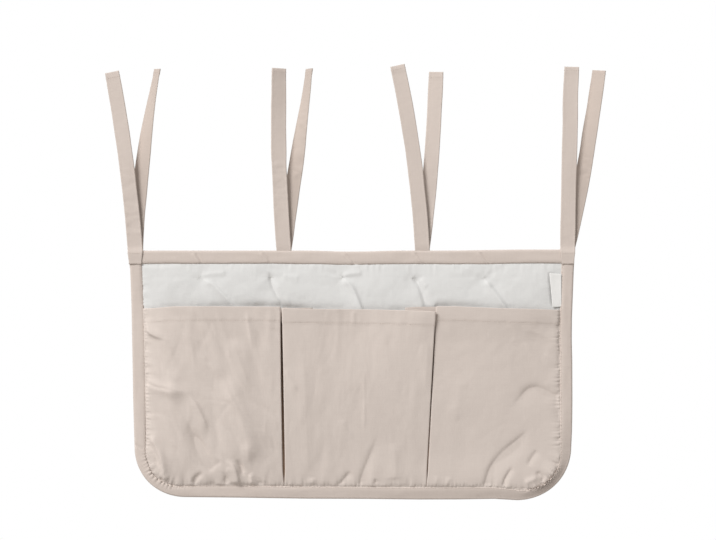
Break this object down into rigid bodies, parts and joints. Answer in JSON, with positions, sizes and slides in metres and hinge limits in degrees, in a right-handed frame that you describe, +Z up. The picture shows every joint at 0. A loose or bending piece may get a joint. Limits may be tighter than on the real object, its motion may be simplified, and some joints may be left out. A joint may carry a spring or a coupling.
{
  "type": "bedside caddy",
  "caption": "Hanging bedside caddy: a quilted cloth panel with bound edges, pleated pockets across the front, a bare label tab and pairs of ties for a bed rail.",
  "frame": {"origin": "middle of the top edge of the panel, where the caddy hangs", "axes": "+X to the right along the top edge, +Z up along the ties, pockets face -Y and the back rests towards +Y"},
  "size_m": [0.6686, 0.0328, 0.5768],
  "materials": {
    "sand_cotton": "plain-woven cotton, soft and slightly creased",
    "white_cotton": "plain-woven cotton, quilted",
    "filling": "loose fibre wadding",
    "label_tape": "smooth woven tape"
  },
  "bodies": {
    "panel": {"rear_cloth": "white_cotton", "wadding": "filling", "quilted_front": "white_cotton", "top_binding": "sand_cotton", "side_binding": "sand_cotton", "left_divider_underlay": "sand_cotton", "right_divider_underlay": "sand_cotton", "tie_1_root": "sand_cotton", "tie_2_root": "sand_cotton", "tie_3_root": "sand_cotton", "tie_4_root": "sand_cotton"},
    "left_pocket": {"left_pocket": "sand_cotton", "left_pocket_pleat": "sand_cotton"},
    "middle_pocket": {"middle_pocket": "sand_cotton", "middle_pocket_left_pleat": "sand_cotton", "middle_pocket_right_pleat": "sand_cotton"},
    "right_pocket": {"right_pocket": "sand_cotton", "right_pocket_pleat": "sand_cotton"},
    "tie_1_front": {"tie_1_front": "sand_cotton"},
    "tie_1_rear": {"tie_1_rear": "sand_cotton"},
    "tie_2_front": {"tie_2_front": "sand_cotton"},
    "tie_2_rear": {"tie_2_rear": "sand_cotton"},
    "tie_3_front": {"tie_3_front": "sand_cotton"},
    "tie_3_rear": {"tie_3_rear": "sand_cotton"},
    "tie_4_front": {"tie_4_front": "sand_cotton"},
    "tie_4_rear": {"tie_4_rear": "sand_cotton"},
    "label": {"label": "label_tape"}
  },
  "joints": [
    {"name": "left_pocket_open", "type": "hinge", "parent": "panel", "child": "left_pocket", "pos_m": [-0.17, -0.0021, -0.3144], "axis": [1, 0, 0], "range_deg": [0, 7.5], "stiffness_Nm_per_rad": 0.12, "springref_deg": -4.58, "deforming": ["left_pocket_pleat"]},
    {"name": "middle_pocket_open", "type": "hinge", "parent": "panel", "child": "middle_pocket", "pos_m": [0.006, -0.0021, -0.3144], "axis": [1, 0, 0], "range_deg": [0, 7.5], "stiffness_Nm_per_rad": 0.12, "springref_deg": -4.58, "deforming": ["middle_pocket_left_pleat", "middle_pocket_right_pleat"]},
    {"name": "right_pocket_open", "type": "hinge", "parent": "panel", "child": "right_pocket", "pos_m": [0.19, -0.0021, -0.3144], "axis": [1, 0, 0], "range_deg": [0, 7.5], "stiffness_Nm_per_rad": 0.12, "springref_deg": -4.58, "deforming": ["right_pocket_pleat"]},
    {"name": "tie_1_front_swing", "type": "hinge", "parent": "panel", "child": "tie_1_front", "pos_m": [-0.288, -0.002, 0.00058], "axis": [1, 0, 0], "range_deg": [0, 115]},
    {"name": "tie_1_rear_swing", "type": "hinge", "parent": "panel", "child": "tie_1_rear", "pos_m": [-0.288, 0.002, 0.00058], "axis": [-1, 0, 0], "range_deg": [0, 115]},
    {"name": "tie_2_front_swing", "type": "hinge", "parent": "panel", "child": "tie_2_front", "pos_m": [-0.09, -0.002, 0.00058], "axis": [1, 0, 0], "range_deg": [0, 115]},
    {"name": "tie_2_rear_swing", "type": "hinge", "parent": "panel", "child": "tie_2_rear", "pos_m": [-0.09, 0.002, 0.00058], "axis": [-1, 0, 0], "range_deg": [0, 115]},
    {"name": "tie_3_front_swing", "type": "hinge", "parent": "panel", "child": "tie_3_front", "pos_m": [0.0945, -0.002, 0.00058], "axis": [1, 0, 0], "range_deg": [0, 115]},
    {"name": "tie_3_rear_swing", "type": "hinge", "parent": "panel", "child": "tie_3_rear", "pos_m": [0.0945, 0.002, 0.00058], "axis": [-1, 0, 0], "range_deg": [0, 115]},
    {"name": "tie_4_front_swing", "type": "hinge", "parent": "panel", "child": "tie_4_front", "pos_m": [0.288, -0.002, 0.00058], "axis": [1, 0, 0], "range_deg": [0, 115]},
    {"name": "tie_4_rear_swing", "type": "hinge", "parent": "panel", "child": "tie_4_rear", "pos_m": [0.288, 0.002, 0.00058], "axis": [-1, 0, 0], "range_deg": [0, 115]},
    {"name": "label_flap", "type": "hinge", "parent": "panel", "child": "label", "pos_m": [0.27795, -0.0026, -0.052], "axis": [0, 0, 1], "range_deg": [0, 78]}
  ]
}
